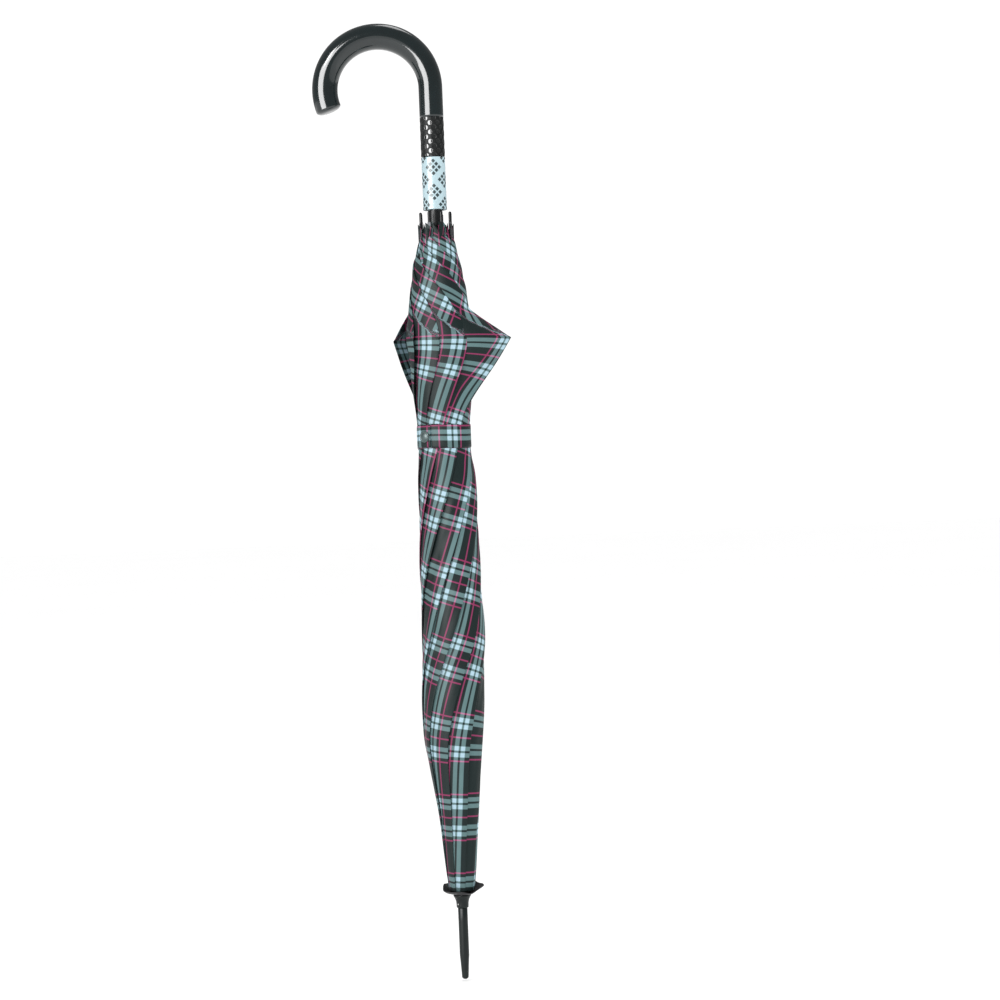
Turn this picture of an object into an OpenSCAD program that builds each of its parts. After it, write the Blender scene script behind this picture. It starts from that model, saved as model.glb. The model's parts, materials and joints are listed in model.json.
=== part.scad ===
// Stick umbrella, furled and strapped, with a crook handle.
// +Z runs up the shaft towards the handle, the crook turns towards -X,
// and the origin is on the shaft's axis at the shoulder of the ferrule spike.

/* [Shaft] */
// Outside diameter of the shaft tube
shaft_d = 9; // [8:0.5:10]
// Wall of the shaft tube
shaft_wall = 0.8; // [0.7:0.1:1]
// Height of the shaft's upper end, inside the handle
shaft_top = 698; // [690:1:699]

/* [Frame] */
// Number of ribs
rib_count = 8; // [8]
// Height of the rib pivots in the top notch
pivot_z = 20; // [20:1:21]
// Radius of the circle of pivots, in the top notch and in the runner
pivot_r = 6.5; // [6.4:0.1:6.6]
// Distance along a rib from its pivot to the stretcher's pivot, and the stretcher's own length
link_len = 270; // [265:1:272]
// Length of a rib from its pivot to the start of its tip
rib_len = 596; // [590:1:598]
// Lean of a furled rib away from the shaft, in degrees
rest_lean = 0.5; // [0.4:0.05:0.6]
// Width of a rib's channel
rib_w = 3; // [2.8:0.1:3.2]
// Depth of a rib's channel
rib_t = 2; // [1.8:0.1:2]

/* [Handle] */
// Height of the handle's lower end
handle_z = 628; // [628:1:634]
// Outside diameter of the handle's straight stem
stem_d = 21.5; // [20:0.5:23]
// Height where the crook starts to bend
bend_z = 738.5; // [735:0.5:745]
// Radius of the crook, to the middle of its tube
bend_r = 47.5; // [42:0.5:52]
// Diameter of the crook's tube
bend_d = 22.4; // [20:0.2:24]
// How far round the crook goes, in degrees
bend_angle = 199; // [190:1:205]

/* [Ferrule] */
// Length of the spike below its shoulder
spike_len = 64.5; // [55:0.5:75]
// Diameter of the spike's straight part
spike_d = 8.6; // [8:0.2:8.6]
// Length of the spike's straight part
spike_straight = 43.6; // [38:0.2:48]
// Diameter of the spike's blunt tip
tip_d = 6.1; // [5.5:0.1:6.5]

/* [Canopy] */
// Height of the furled hem
hem_z = 617; // [615:1:618]
// How far the widest loose fold stands out from the axis
flare_right = 62; // [50:1:64]
// How far the opposite loose fold stands out
flare_left = 42; // [38:1:48]
// How far the other loose folds stand out
flare_small = 34; // [30:1:38]
// Height of the strap's middle
strap_z = 424; // [420:1:428]
// Width of the strap
strap_w = 22; // [20:1:24]
// Where the snap sits round the bundle, in degrees from +X
snap_az = -131; // [-140:1:-120]

/* [Hidden] */
NAMES = ["handle_crook", "handle_net_sleeve", "handle_print_sleeve", "shaft_tube", "top_notch",
    "top_notch_wire", "runner", "runner_wire", "bottom_spring", "top_spring", "ferrule",
    "ferrule_collar", "ferrule_pin", "rosette", "strap", "snap_cap", "snap_socket", "snap_stud",
    "snap_post"];
GROUPS = ["rib_", "rib_tip_", "stretcher_", "canopy_panel_"];
$fn = 48;
eps = 0.01;
step = 360 / rib_count;
shaft_r = shaft_d / 2;
bore_r = shaft_r - shaft_wall;
fixed_fit = 0.05;      // radial gap round the shaft where a piece is fixed
running_fit = 0.06;    // radial gap where a piece slides or turns
wire_r = 0.4;
groove_r = 0.45;
eye_r = 1.3;
eye_t = 1.2;
eye_bore_r = 0.46;
slot_w = 1.7;
crown_r = 8.2;
crown_wall_r = 5;      // the slots stop here, outside the shaft's bore
crown_reach = 1.6;     // from the pivots to the floor of the slots
crown_rim = 2.4;       // from the pivots to the open rim of the crown
rivet_r = 0.5;
rivet_bore_r = rivet_r + running_fit;
channel_in = 1.5;      // gap from the pivot line to a rib's channel
runner_z = pivot_z + 2 * link_len * cos(rest_lean);
runner_len = 67.5;
runner_top = runner_z + runner_len;
sleeve_wall = 1.15;
core_r = stem_d / 2 - sleeve_wall;
print_top = 675;
net_low = 676;
net_top = 711;
collar_h = 11.5;
window_low = runner_z + 34;
window_high = runner_z + 44.3;
open_lean = 72;
open_runner_top = pivot_z + 2 * link_len * cos(open_lean) + runner_len;
skin_in = channel_in + rib_t + 0.4;  // the canopy starts this far out from the pivot line
strap_r = 23.4;
strap_t = 0.8;
tab_in = 26.2;
tab_half = 9;
post_stem_r = 1.2;
pin_z = 3.4;
pin_r = 0.6;

function rib_az(k) = -step / 2 + (k - 1) * step;
function skin_r(z) = pivot_r + skin_in + (z - pivot_z) * tan(rest_lean);
function flare_of(k) = k == 1 ? flare_right : k == 1 + rib_count / 2 ? flare_left : flare_small;

// The furled outline, radius against height, from the rosette up to the hem
function furled() = [[12.4, 31], [15, 56], [17.3, 83], [21, 110], [24.8, 137], [27, 177], [28, 231],
    [27.3, 286], [26.4, 340], [25, 400], [22.2, 410], [22.2, 438], [24.5, 446], [29, 475],
    [30.5, 511], [27, 530], [24, 545], [22, 562], [20.6, 590], [18.6, 605], [17, hem_z]];

// Places children at a rib's pivot: x outwards, y along the pivot, z along the furled rib
module at_rib(k) {
    rotate([0, 0, rib_az(k)]) translate([pivot_r, 0, pivot_z]) rotate([0, rest_lean, 0]) children();
}

// The same at the pivot between a rib and its stretcher, with z along the stretcher
module at_elbow(k) {
    at_rib(k) translate([0, 0, link_len]) rotate([0, -2 * rest_lean, 0]) children();
}

// A cylinder along y, for a pivot's eye, bore or rivet
module across(r, t) {
    rotate([90, 0, 0]) cylinder(r = r, h = t, center = true, $fn = 32);
}

// A ring of wire round the shaft
module wire_ring(z, r) {
    translate([0, 0, z]) rotate_extrude($fn = 72) translate([pivot_r, 0]) circle(r = r, $fn = 24);
}

// Slots for the eyes, open outwards and upwards from floor_z
module eye_slots(floor_z, top_z) {
    for (k = [1:rib_count]) rotate([0, 0, rib_az(k)])
        translate([crown_wall_r, -slot_w / 2, floor_z]) cube([crown_r, slot_w, top_z - floor_z]);
}

module handle_crook() {
    color([0.06, 0.075, 0.07]) {
        difference() {
            union() {
                translate([0, 0, handle_z]) cylinder(r = core_r, h = net_top - handle_z);
                translate([0, 0, net_top]) cylinder(d = stem_d, h = bend_z - net_top);
            }
            translate([0, 0, handle_z - 1])
                cylinder(r = shaft_r + fixed_fit, h = shaft_top - handle_z + 1);
        }
        translate([-bend_r, 0, bend_z]) rotate([90, 0, 0]) {
            rotate_extrude(angle = bend_angle, $fn = 96) translate([bend_r, 0]) circle(d = bend_d);
            rotate([0, 0, bend_angle]) translate([bend_r, 0, 0]) rotate([-90, 0, 0]) crook_end();
        }
    }
}

// The low dome that closes the crook's tube
module crook_end() {
    dome_h = 3.6;
    shank = 1;
    dome_r = bend_d / 2 - 0.05;
    rotate_extrude() polygon(concat([[0, -shank], [dome_r, -shank]],
        [for (a = [0:15:90]) [dome_r * cos(a), dome_h * sin(a)]]));
}

module sleeve(low, high) {
    translate([0, 0, low]) difference() {
        cylinder(d = stem_d, h = high - low, $fn = 64);
        translate([0, 0, -1]) cylinder(r = core_r, h = high - low + 2);
    }
}

module handle_net_sleeve() {
    color([0.08, 0.08, 0.085]) sleeve(net_low, net_top);
}

module handle_print_sleeve() {
    color([0.78, 0.88, 0.92]) sleeve(handle_z, print_top);
}

module shaft_tube() {
    slot_half = 1;
    color([0.2, 0.21, 0.22]) difference() {
        cylinder(r = shaft_r, h = shaft_top);
        translate([0, 0, -1]) cylinder(r = bore_r, h = shaft_top + 2);
        translate([0, -slot_half, window_low - 12]) cube([shaft_d, 2 * slot_half, 24]);
        translate([0, -slot_half, open_runner_top - 12]) cube([shaft_d, 2 * slot_half, 24]);
        ferrule_pin_hole();
    }
}

module top_notch() {
    rim_z = pivot_z + crown_rim;
    color([0.09, 0.09, 0.1]) difference() {
        translate([0, 0, pivot_z - 7]) cylinder(r = crown_r, h = rim_z - pivot_z + 7);
        cylinder(r = shaft_r + fixed_fit, h = rim_z + 1);
        eye_slots(pivot_z - crown_reach, rim_z + 1);
        wire_ring(pivot_z, groove_r);
    }
}

module top_notch_wire() {
    color([0.7, 0.7, 0.72]) wire_ring(pivot_z, wire_r);
}

module runner() {
    barrel_r = 5.9;
    grip_r = 6.5;
    grip_h = 14;
    low = runner_z - crown_rim;
    shoulder = runner_z + crown_reach;
    color([0.07, 0.07, 0.08]) difference() {
        union() {
            translate([0, 0, low]) cylinder(r = crown_r, h = shoulder - low + 2.4);
            translate([0, 0, shoulder + 2.4]) cylinder(r1 = crown_r, r2 = barrel_r, h = 4);
            translate([0, 0, shoulder]) cylinder(r = barrel_r, h = runner_top - shoulder);
            translate([0, 0, runner_top - grip_h]) cylinder(r = grip_r, h = grip_h);
        }
        translate([0, 0, low - 1]) cylinder(r = shaft_r + running_fit, h = runner_top - low + 2);
        eye_slots(low - 1, shoulder);
        wire_ring(runner_z, groove_r);
        translate([0, -1.3, window_low]) cube([shaft_d, 2.6, window_high - window_low]);
    }
}

module runner_wire() {
    color([0.7, 0.7, 0.72]) wire_ring(runner_z, wire_r);
}

// A flat catch spring in the shaft, with a tooth that stands out through the slot.
// way is 1 where the tooth's flat face looks up, and -1 where it looks down.
module catch_spring(face_z, reach, way) {
    leaf_x = bore_r - 1.1;
    leaf_t = 0.6;
    translate([0, 0, face_z]) mirror([0, 0, way > 0 ? 0 : 1])
        rotate([90, 0, 0]) linear_extrude(height = 1.6, center = true)
            polygon([[leaf_x, -30], [leaf_x + leaf_t, -30], [leaf_x + leaf_t, -11],
                [shaft_r, -9], [reach, -3], [reach, 0], [leaf_x, 0]]);
}

module bottom_spring() {
    color([0.6, 0.6, 0.62]) catch_spring(window_high - 0.3, 5.7, 1);
}

module top_spring() {
    color([0.6, 0.6, 0.62]) catch_spring(open_runner_top + 0.5, 6.4, -1);
}

module ferrule() {
    spigot_h = 24;
    tip_r = tip_d / 2;
    color([0.08, 0.08, 0.09]) difference() {
        union() {
            translate([0, 0, -eps]) cylinder(r = bore_r - fixed_fit, h = spigot_h + eps);
            rotate_extrude() polygon(concat(
                [[0, 0], [spike_d / 2, 0], [spike_d / 2, -spike_straight]],
                [for (a = [0:15:90])
                    [tip_r * cos(a), -spike_len + tip_r - tip_r * sin(a)]]));
        }
        ferrule_pin_hole();
    }
}

module ferrule_collar() {
    color([0.08, 0.08, 0.09]) difference() {
        union() {
            cylinder(r = 5.5, h = 6);
            translate([0, 0, 6]) cylinder(r1 = 5.5, r2 = 8, h = collar_h - 6.8);
            translate([0, 0, collar_h - 0.8]) cylinder(r = 8, h = 0.8);
        }
        translate([0, 0, -1]) cylinder(r = shaft_r + fixed_fit, h = collar_h + 2);
        ferrule_pin_hole();
    }
}

module pin_place() {
    translate([0, 0, pin_z]) rotate([0, 0, snap_az]) rotate([0, 90, 0]) children();
}

module ferrule_pin_hole() {
    pin_place() cylinder(r = pin_r, h = 20, center = true, $fn = 24);
}

module ferrule_pin() {
    color([0.8, 0.8, 0.78]) pin_place() {
        cylinder(r = pin_r, h = 11.8, center = true, $fn = 24);
    }
}

module rosette() {
    bore = shaft_r + fixed_fit;
    color([0.05, 0.05, 0.055]) translate([0, 0, collar_h]) rotate_extrude($fn = 64)
        polygon([[bore, 0], [9, 0], [13, 1.6], [18.8, 8], [18.2, 8.4], [12.6, 2.3], [8.9, 0.7],
            [bore, 0.7]]);
}

// One rib: an eye and lug in the notch, a channel, and the forked bracket and rivet of its stretcher
module rib(k) {
    channel_z = 8;
    groove = 1.4;
    fork_in = 0.8;
    fork_t = 0.6;
    color([0.16, 0.17, 0.18]) at_rib(k) {
        difference() {
            union() {
                across(eye_r, eye_t);
                rotate([90, 0, 0]) linear_extrude(height = eye_t, center = true)
                    polygon([[-1.1, 0.5], [0, -1.2], [1.2, 0.3], [channel_in + rib_t, 6],
                        [channel_in + rib_t, 10], [channel_in, 10], [channel_in - 0.6, 5]]);
            }
            across(eye_bore_r, 4);
        }
        difference() {
            translate([channel_in, -rib_w / 2, channel_z]) cube([rib_t, rib_w, rib_len - channel_z]);
            translate([channel_in - 1, -rib_w / 2 + 0.5, channel_z + 4])
                cube([groove + 1, rib_w - 1, link_len - 30 - channel_z]);
            translate([channel_in - 1, -rib_w / 2 + 0.5, link_len + 20])
                cube([groove + 1, rib_w - 1, rib_len - link_len - 30]);
        }
        translate([0, 0, link_len]) {
            for (side = [-1, 1]) translate([0, side * (fork_in + fork_t / 2), 0]) {
                across(eye_r, fork_t);
                translate([0, -fork_t / 2, -eye_r]) cube([channel_in + eps, fork_t, 2 * eye_r]);
            }
            across(rivet_r, 2 * (fork_in + fork_t) + 0.4);
        }
    }
}

module rib_tip(k) {
    tip_r = 1.35;
    color([0.04, 0.04, 0.045]) at_rib(k)
        translate([channel_in + rib_t / 2, 0, rib_len]) {
            cylinder(r = tip_r, h = 8.4, $fn = 24);
            translate([0, 0, 8.4]) sphere(r = tip_r, $fn = 24);
        }
}

// One stretcher: a grooved bar with an eye at the rib's fork and one in the runner
module stretcher(k) {
    bar_w = 2.4;
    bar_t = 2;
    bar_gap = 5;
    color([0.16, 0.17, 0.18]) at_elbow(k) {
        difference() {
            union() {
                across(eye_r, eye_t);
                translate([-bar_t / 2, -eye_t / 2, 0]) cube([bar_t, eye_t, bar_gap + 3]);
                translate([0, 0, link_len]) across(eye_r, eye_t);
                translate([-bar_t / 2, -eye_t / 2, link_len - bar_gap - 3])
                    cube([bar_t, eye_t, bar_gap + 3]);
                difference() {
                    translate([-bar_t / 2, -bar_w / 2, bar_gap])
                        cube([bar_t, bar_w, link_len - 2 * bar_gap]);
                    translate([0, -bar_w / 4, bar_gap + 6])
                        cube([bar_t, bar_w / 2, link_len - 2 * bar_gap - 12]);
                }
            }
            across(rivet_bore_r, 4);
            translate([0, 0, link_len]) across(eye_bore_r, 4);
        }
    }
}

// One gore of the canopy as it is furled: a sector of the bundle outside the ribs, with a loose fold
module canopy_panel(k) {
    side_gap = 1;
    fin_t = 3;
    low = furled()[0][1];
    reach = flare_of(k);
    tint = k % 2 == 0 ? [0.13, 0.2, 0.2] : [0.17, 0.24, 0.24];
    color(tint) {
        rotate([0, 0, rib_az(k) + side_gap]) rotate_extrude(angle = step - 2 * side_gap)
            polygon(concat([[skin_r(hem_z), hem_z], [skin_r(low), low]], furled()));
        rotate([0, 0, rib_az(k) + step / 2]) rotate([90, 0, 0])
            linear_extrude(height = fin_t, center = true)
                polygon([[22, 446], [reach, 506], [reach, 513], [22, 548]]);
    }
}

// The snap's own axis points straight out from the bundle
module at_snap() {
    translate([0, 0, strap_z]) rotate([0, 0, snap_az]) rotate([0, 90, 0]) children();
}

module strap() {
    ring_out = strap_r + strap_t;
    tab_out = tab_in + strap_t;
    color([0.15, 0.22, 0.22]) difference() {
        translate([0, 0, strap_z - strap_w / 2]) linear_extrude(height = strap_w) {
            difference() {
                circle(r = ring_out, $fn = 96);
                circle(r = strap_r, $fn = 96);
            }
            rotate([0, 0, snap_az]) difference() {
                polygon([[tab_in, tab_half], [tab_out, tab_half], [tab_out, -tab_half],
                    [18.4, -16.6], [17.6, -15.8], [tab_in, -tab_half + 0.6]]);
                circle(r = strap_r + strap_t / 4, $fn = 96);
            }
        }
        at_snap() cylinder(r = post_stem_r, h = 60, $fn = 24);
    }
}

module snap_post() {
    color([0.5, 0.5, 0.5]) at_snap() {
        translate([0, 0, strap_r - 0.9]) cylinder(r = 3.5, h = 0.6, $fn = 32);
        translate([0, 0, strap_r - 0.4]) cylinder(r = post_stem_r, h = 1.8, $fn = 24);
    }
}

module snap_stud() {
    color([0.5, 0.5, 0.5]) at_snap() difference() {
        union() {
            translate([0, 0, strap_r + strap_t]) cylinder(r = 4.2, h = 0.6, $fn = 32);
            translate([0, 0, strap_r + strap_t]) cylinder(r = 2, h = 1.5, $fn = 32);
        }
        translate([0, 0, strap_r]) cylinder(r = post_stem_r, h = 1.4, $fn = 24);
    }
}

module snap_socket() {
    color([0.5, 0.5, 0.5]) at_snap() difference() {
        translate([0, 0, tab_in - 1.2]) cylinder(r = 4.4, h = 1.2, $fn = 32);
        translate([0, 0, tab_in - 2]) cylinder(r = 2 + running_fit, h = 3, $fn = 32);
    }
}

module snap_cap() {
    cap_r = 5.25;
    color([0.2, 0.24, 0.24]) at_snap() {
        translate([0, 0, tab_in + strap_t]) rotate_extrude() polygon(concat([[0, 0], [cap_r, 0]],
            [for (a = [0:15:90]) [cap_r * cos(a), 0.5 + 1.3 * sin(a)]]));
        translate([0, 0, tab_in]) cylinder(r = post_stem_r, h = strap_t + 0.6, $fn = 24);
    }
}

handle_crook();
handle_net_sleeve();
handle_print_sleeve();
shaft_tube();
top_notch();
top_notch_wire();
runner();
runner_wire();
bottom_spring();
top_spring();
ferrule();
ferrule_collar();
ferrule_pin();
rosette();
strap();
snap_cap();
snap_socket();
snap_stud();
snap_post();
for (k = [1:rib_count]) {
    rib(k);
    rib_tip(k);
    stretcher(k);
    canopy_panel(k);
}
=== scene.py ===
"""Stick umbrella, furled and strapped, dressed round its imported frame.

The file is laid out as an add-on: settings, one operator for each piece or group of like
pieces, a panel that lists them, and a main function that calls them in order.
Lengths inside the functions are in millimetres until put() turns them into metres.
"""

import json
import math

import bmesh
import bpy
import numpy as np
from bpy.props import FloatProperty, FloatVectorProperty, IntProperty, PointerProperty
from mathutils import Matrix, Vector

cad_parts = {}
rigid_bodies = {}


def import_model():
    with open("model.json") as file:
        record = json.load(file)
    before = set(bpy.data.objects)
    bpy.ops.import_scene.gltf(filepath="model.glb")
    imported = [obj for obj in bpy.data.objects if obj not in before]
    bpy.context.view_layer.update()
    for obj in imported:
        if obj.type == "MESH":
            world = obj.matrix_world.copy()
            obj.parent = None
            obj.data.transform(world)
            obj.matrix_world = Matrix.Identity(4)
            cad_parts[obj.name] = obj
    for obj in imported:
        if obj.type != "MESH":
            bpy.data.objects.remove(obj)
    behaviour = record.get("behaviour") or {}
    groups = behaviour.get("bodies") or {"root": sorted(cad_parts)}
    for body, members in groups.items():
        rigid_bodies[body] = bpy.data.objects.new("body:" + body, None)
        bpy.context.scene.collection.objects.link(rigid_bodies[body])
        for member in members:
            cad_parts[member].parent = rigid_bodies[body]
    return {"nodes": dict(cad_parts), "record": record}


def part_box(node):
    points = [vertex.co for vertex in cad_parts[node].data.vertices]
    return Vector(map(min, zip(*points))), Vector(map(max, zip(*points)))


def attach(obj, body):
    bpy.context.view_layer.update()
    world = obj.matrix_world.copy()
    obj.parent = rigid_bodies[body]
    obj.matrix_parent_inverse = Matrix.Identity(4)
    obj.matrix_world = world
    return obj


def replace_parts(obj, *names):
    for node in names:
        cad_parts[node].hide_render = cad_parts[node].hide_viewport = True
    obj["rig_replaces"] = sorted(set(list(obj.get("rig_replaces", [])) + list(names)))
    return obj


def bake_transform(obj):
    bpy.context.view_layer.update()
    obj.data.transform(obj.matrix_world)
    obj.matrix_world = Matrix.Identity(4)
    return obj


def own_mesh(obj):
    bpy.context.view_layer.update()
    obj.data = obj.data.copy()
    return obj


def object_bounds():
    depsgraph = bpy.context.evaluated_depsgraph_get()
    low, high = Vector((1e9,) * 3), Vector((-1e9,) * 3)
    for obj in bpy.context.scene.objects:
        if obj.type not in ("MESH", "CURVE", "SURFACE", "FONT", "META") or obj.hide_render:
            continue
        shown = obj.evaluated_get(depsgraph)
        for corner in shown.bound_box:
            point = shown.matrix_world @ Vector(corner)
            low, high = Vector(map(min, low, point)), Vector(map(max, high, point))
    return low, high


bl_info = {
    "name": "Stick umbrella",
    "version": (1, 0, 0),
    "blender": (4, 5, 0),
    "location": "3D View > Sidebar > Umbrella",
    "description": "Makes the cloth, handle, fittings and stage of a furled stick umbrella",
    "category": "Object",
}

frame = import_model()
CAD_LOW, CAD_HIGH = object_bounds()
JOINTS = {j["name"]: j for j in frame["record"]["behaviour"]["joints"]}
MASTER = "canopy_open"
GORES = 8
STEP = 360 / GORES
MM = 0.001
TAU = 2 * math.pi


def at_mm(node):
    """Lowest and highest corner of a CAD node, in millimetres."""
    low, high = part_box(node)
    return np.array(low) / MM, np.array(high) / MM


STRAP_LOW, STRAP_HIGH = (float(c[2]) for c in at_mm("strap"))
PANEL_LOW, PANEL_HIGH = (float(c[2]) for c in at_mm("canopy_panel_1"))
NET_LOW, NET_HIGH = (float(c[2]) for c in at_mm("handle_net_sleeve"))
PRINT_LOW, PRINT_HIGH = (float(c[2]) for c in at_mm("handle_print_sleeve"))
STEM_R = float(at_mm("handle_net_sleeve")[1][0])
NET_TURNS = 9  # cells of the net round the sleeve
NET_PITCH = 8.4  # height of one cell
CORNER_Z = 511.0  # height of the loose corners
RIB_LEN = 596.0
SNAP_AZ = -131.0  # where the snap sits round the bundle, in degrees from +X


# ---------------------------------------------------------------- shapes


def grid_quads(rows, cols, closed):
    """Quads of a rows by cols grid of points; closed joins the last column to the first."""
    r = np.arange(rows - 1)[:, None]
    c = np.arange(cols if closed else cols - 1)[None, :]
    n = (c + 1) % cols
    quads = np.stack([r * cols + c, r * cols + n, (r + 1) * cols + n, (r + 1) * cols + c], -1)
    return quads.reshape(-1, 4)


def put(name, points, quads, material, uv=None, weld=False):
    """A smooth mesh object from points in millimetres, quads, and UVs in metres of cloth."""
    mesh = bpy.data.meshes.new(name)
    mesh.vertices.add(len(points))
    mesh.vertices.foreach_set("co", (np.asarray(points, np.float64) * MM).astype(np.float32).ravel())
    mesh.loops.add(quads.size)
    mesh.loops.foreach_set("vertex_index", quads.astype(np.int32).ravel())
    mesh.polygons.add(len(quads))
    mesh.polygons.foreach_set("loop_start", np.arange(0, quads.size, 4, dtype=np.int32))
    mesh.polygons.foreach_set("use_smooth", np.ones(len(quads), bool))
    mesh.update(calc_edges=True)
    if uv is not None:
        layer = mesh.uv_layers.new(name="Cloth")
        layer.data.foreach_set("uv", np.asarray(uv, np.float32)[quads.ravel()].ravel())
    if weld:
        bm = bmesh.new()
        bm.from_mesh(mesh)
        bmesh.ops.remove_doubles(bm, verts=bm.verts, dist=1e-7)
        bmesh.ops.dissolve_degenerate(bm, edges=bm.edges, dist=1e-8)
        bmesh.ops.recalc_face_normals(bm, faces=bm.faces)
        bm.to_mesh(mesh)
        bm.free()
    mesh.materials.append(material)
    obj = bpy.data.objects.new(name, mesh)
    bpy.context.scene.collection.objects.link(obj)
    return obj


def smoothstep(x, low, high):
    """0 below low, 1 above high, 3t^2 - 2t^3 between."""
    t = np.clip((np.asarray(x, float) - low) / (high - low), 0, 1)
    return t * t * (3 - 2 * t)


def lathe(name, profile, material, around=96, wobble=None):
    """A profile of (radius, height) turned about Z. wobble gives a new radius and height."""
    profile = np.asarray(profile, float)
    a = np.arange(around) * 2 * np.pi / around
    r = profile[:, 0][:, None] * np.ones(around)
    z = profile[:, 1][:, None] * np.ones(around)
    if wobble is not None:
        r, z = wobble(a[None, :], r, z)
    points = np.stack([r * np.cos(a), r * np.sin(a), z], -1).reshape(-1, 3)
    return put(name, points, grid_quads(len(profile), around, True), material, weld=True)


def azimuth(degrees):
    """Unit vector across the shaft at an angle from +X."""
    return np.array([math.cos(math.radians(degrees)), math.sin(math.radians(degrees)), 0.0])


# ---------------------------------------------------------------- materials


class Nodes:
    """A short way to write a node tree: values may be numbers, colours or sockets."""

    def __init__(self, name):
        self.material = bpy.data.materials.new(name)
        self.material.use_nodes = True
        self.tree = self.material.node_tree
        self.shader = self.tree.nodes["Principled BSDF"]

    def add(self, kind, **settings):
        node = self.tree.nodes.new(kind)
        for key, value in settings.items():
            setattr(node, key, value)
        return node

    def feed(self, socket, value):
        if isinstance(value, bpy.types.NodeSocket):
            self.tree.links.new(value, socket)
        else:
            socket.default_value = value

    def math(self, operation, *values):
        node = self.add("ShaderNodeMath", operation=operation)
        for socket, value in zip(node.inputs, values):
            self.feed(socket, value)
        return node.outputs[0]

    def mix(self, share, a, b):
        node = self.add("ShaderNodeMix", data_type="RGBA")
        self.feed(node.inputs["Factor"], share)
        self.feed(node.inputs["A"], a)
        self.feed(node.inputs["B"], b)
        return node.outputs["Result"]

    def ramp(self, value, stops, interpolation="LINEAR"):
        node = self.add("ShaderNodeValToRGB")
        node.color_ramp.interpolation = interpolation
        elements = node.color_ramp.elements
        elements[0].position, elements[0].color = stops[0][0], stops[0][1]
        elements[1].position, elements[1].color = stops[-1][0], stops[-1][1]
        for position, colour in stops[1:-1]:
            elements.new(position).color = colour
        self.feed(node.inputs["Fac"], value)
        return node.outputs["Color"]

    def noise(self, vector, scale, detail=3.0):
        node = self.add("ShaderNodeTexNoise")
        self.feed(node.inputs["Vector"], vector)
        self.feed(node.inputs["Scale"], scale)
        self.feed(node.inputs["Detail"], detail)
        return node.outputs["Fac"]

    def bump(self, height, distance, strength=1.0):
        node = self.add("ShaderNodeBump")
        self.feed(node.inputs["Height"], height)
        self.feed(node.inputs["Distance"], distance)
        self.feed(node.inputs["Strength"], strength)
        return node.outputs["Normal"]

    def coords(self, output):
        return self.add("ShaderNodeTexCoord").outputs[output]

    def split(self, vector):
        node = self.add("ShaderNodeSeparateXYZ")
        self.feed(node.inputs[0], vector)
        return node.outputs

    def set(self, **sockets):
        for key, value in sockets.items():
            self.feed(self.shader.inputs[key.replace("_", " ")], value)
        return self.material


def rgb(colour, k=1.0):
    return (colour[0] * k, colour[1] * k, colour[2] * k, 1.0)


BLACK = (0.0, 0.0, 0.0, 1.0)
WHITE = (1.0, 1.0, 1.0, 1.0)


def sett_ramp(n, coordinate, stripes, repeat):
    """White where a stripe runs and black between, from stripes of (centre, width) in one repeat."""
    fract = n.math("FRACT", n.math("DIVIDE", coordinate, repeat * MM))
    soft = 0.15 / repeat
    stops = [(0.0, BLACK)]
    for centre, width in stripes:
        low, high = (centre - width / 2) / repeat, (centre + width / 2) / repeat
        stops += [(low - soft, BLACK), (low + soft, WHITE)]
        stops += [(high - soft, WHITE), (high + soft, BLACK)]
    stops.append((1.0, BLACK))
    return n.ramp(fract, stops)


def plaid(name, cloth, sheen=0.04):
    """Woven plaid on the piece's own UV map: teal and pink stripes both ways on a dark ground."""
    n = Nodes(name)
    uv = n.coords("UV")
    x, y, _ = n.split(uv)
    teal = [(7.5, 3.9), (13.3, 3.9), (32.0, 3.9), (37.8, 3.9)]
    pink = [(2.0, 1.3), (22.7, 1.3), (43.3, 1.3)]
    tx, ty = (sett_ramp(n, c, teal, cloth.repeat) for c in (x, y))
    px, py = (sett_ramp(n, c, pink, cloth.repeat) for c in (x, y))
    both = n.math("MULTIPLY", n.math("ADD", tx, ty), 0.5)
    dark, mid, pale = rgb(cloth.ground), rgb(cloth.stripe), rgb(cloth.crossing)
    ground = n.ramp(both, [(0.0, dark), (0.5, mid), (1.0, pale)])
    over, palest = rgb(cloth.pink_over), rgb(cloth.pink_over, 1.25)
    pinks = n.ramp(both, [(0.0, rgb(cloth.pink)), (0.5, over), (1.0, palest)])
    share = n.math("MULTIPLY", n.math("MINIMUM", n.math("ADD", px, py), 1.0), 0.88)
    colour = n.mix(share, ground, pinks)
    thread = TAU / (0.55 * MM)
    weft = n.math("SINE", n.math("MULTIPLY", n.math("ADD", x, y), thread))
    warp = n.math("SINE", n.math("MULTIPLY", x, thread))
    weave = n.math("MULTIPLY", n.math("ADD", weft, warp), 0.25)
    cloudy = n.noise(uv, 45.0)
    fleck = n.noise(uv, 2400.0, 1.0)
    light = n.math("ADD", n.math("MULTIPLY", cloudy, 0.30), n.math("MULTIPLY", fleck, 0.35))
    tone = n.mix(light, rgb((0.62, 0.62, 0.62)), rgb((1.55, 1.55, 1.55)))
    mult = n.add("ShaderNodeMix", data_type="RGBA", blend_type="MULTIPLY")
    n.feed(mult.inputs["Factor"], 1.0)
    n.feed(mult.inputs["A"], colour)
    n.feed(mult.inputs["B"], tone)
    rough = n.math("ADD", n.math("MULTIPLY", cloudy, 0.18), 0.42)
    height = n.math("ADD", weave, n.math("MULTIPLY", fleck, 0.5))
    return n.set(
        Base_Color=mult.outputs["Result"],
        Roughness=rough,
        Normal=n.bump(height, 0.00006, 0.5),
        Sheen_Weight=sheen,
        Sheen_Roughness=0.4,
        Specular_IOR_Level=0.16,
    )


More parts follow.
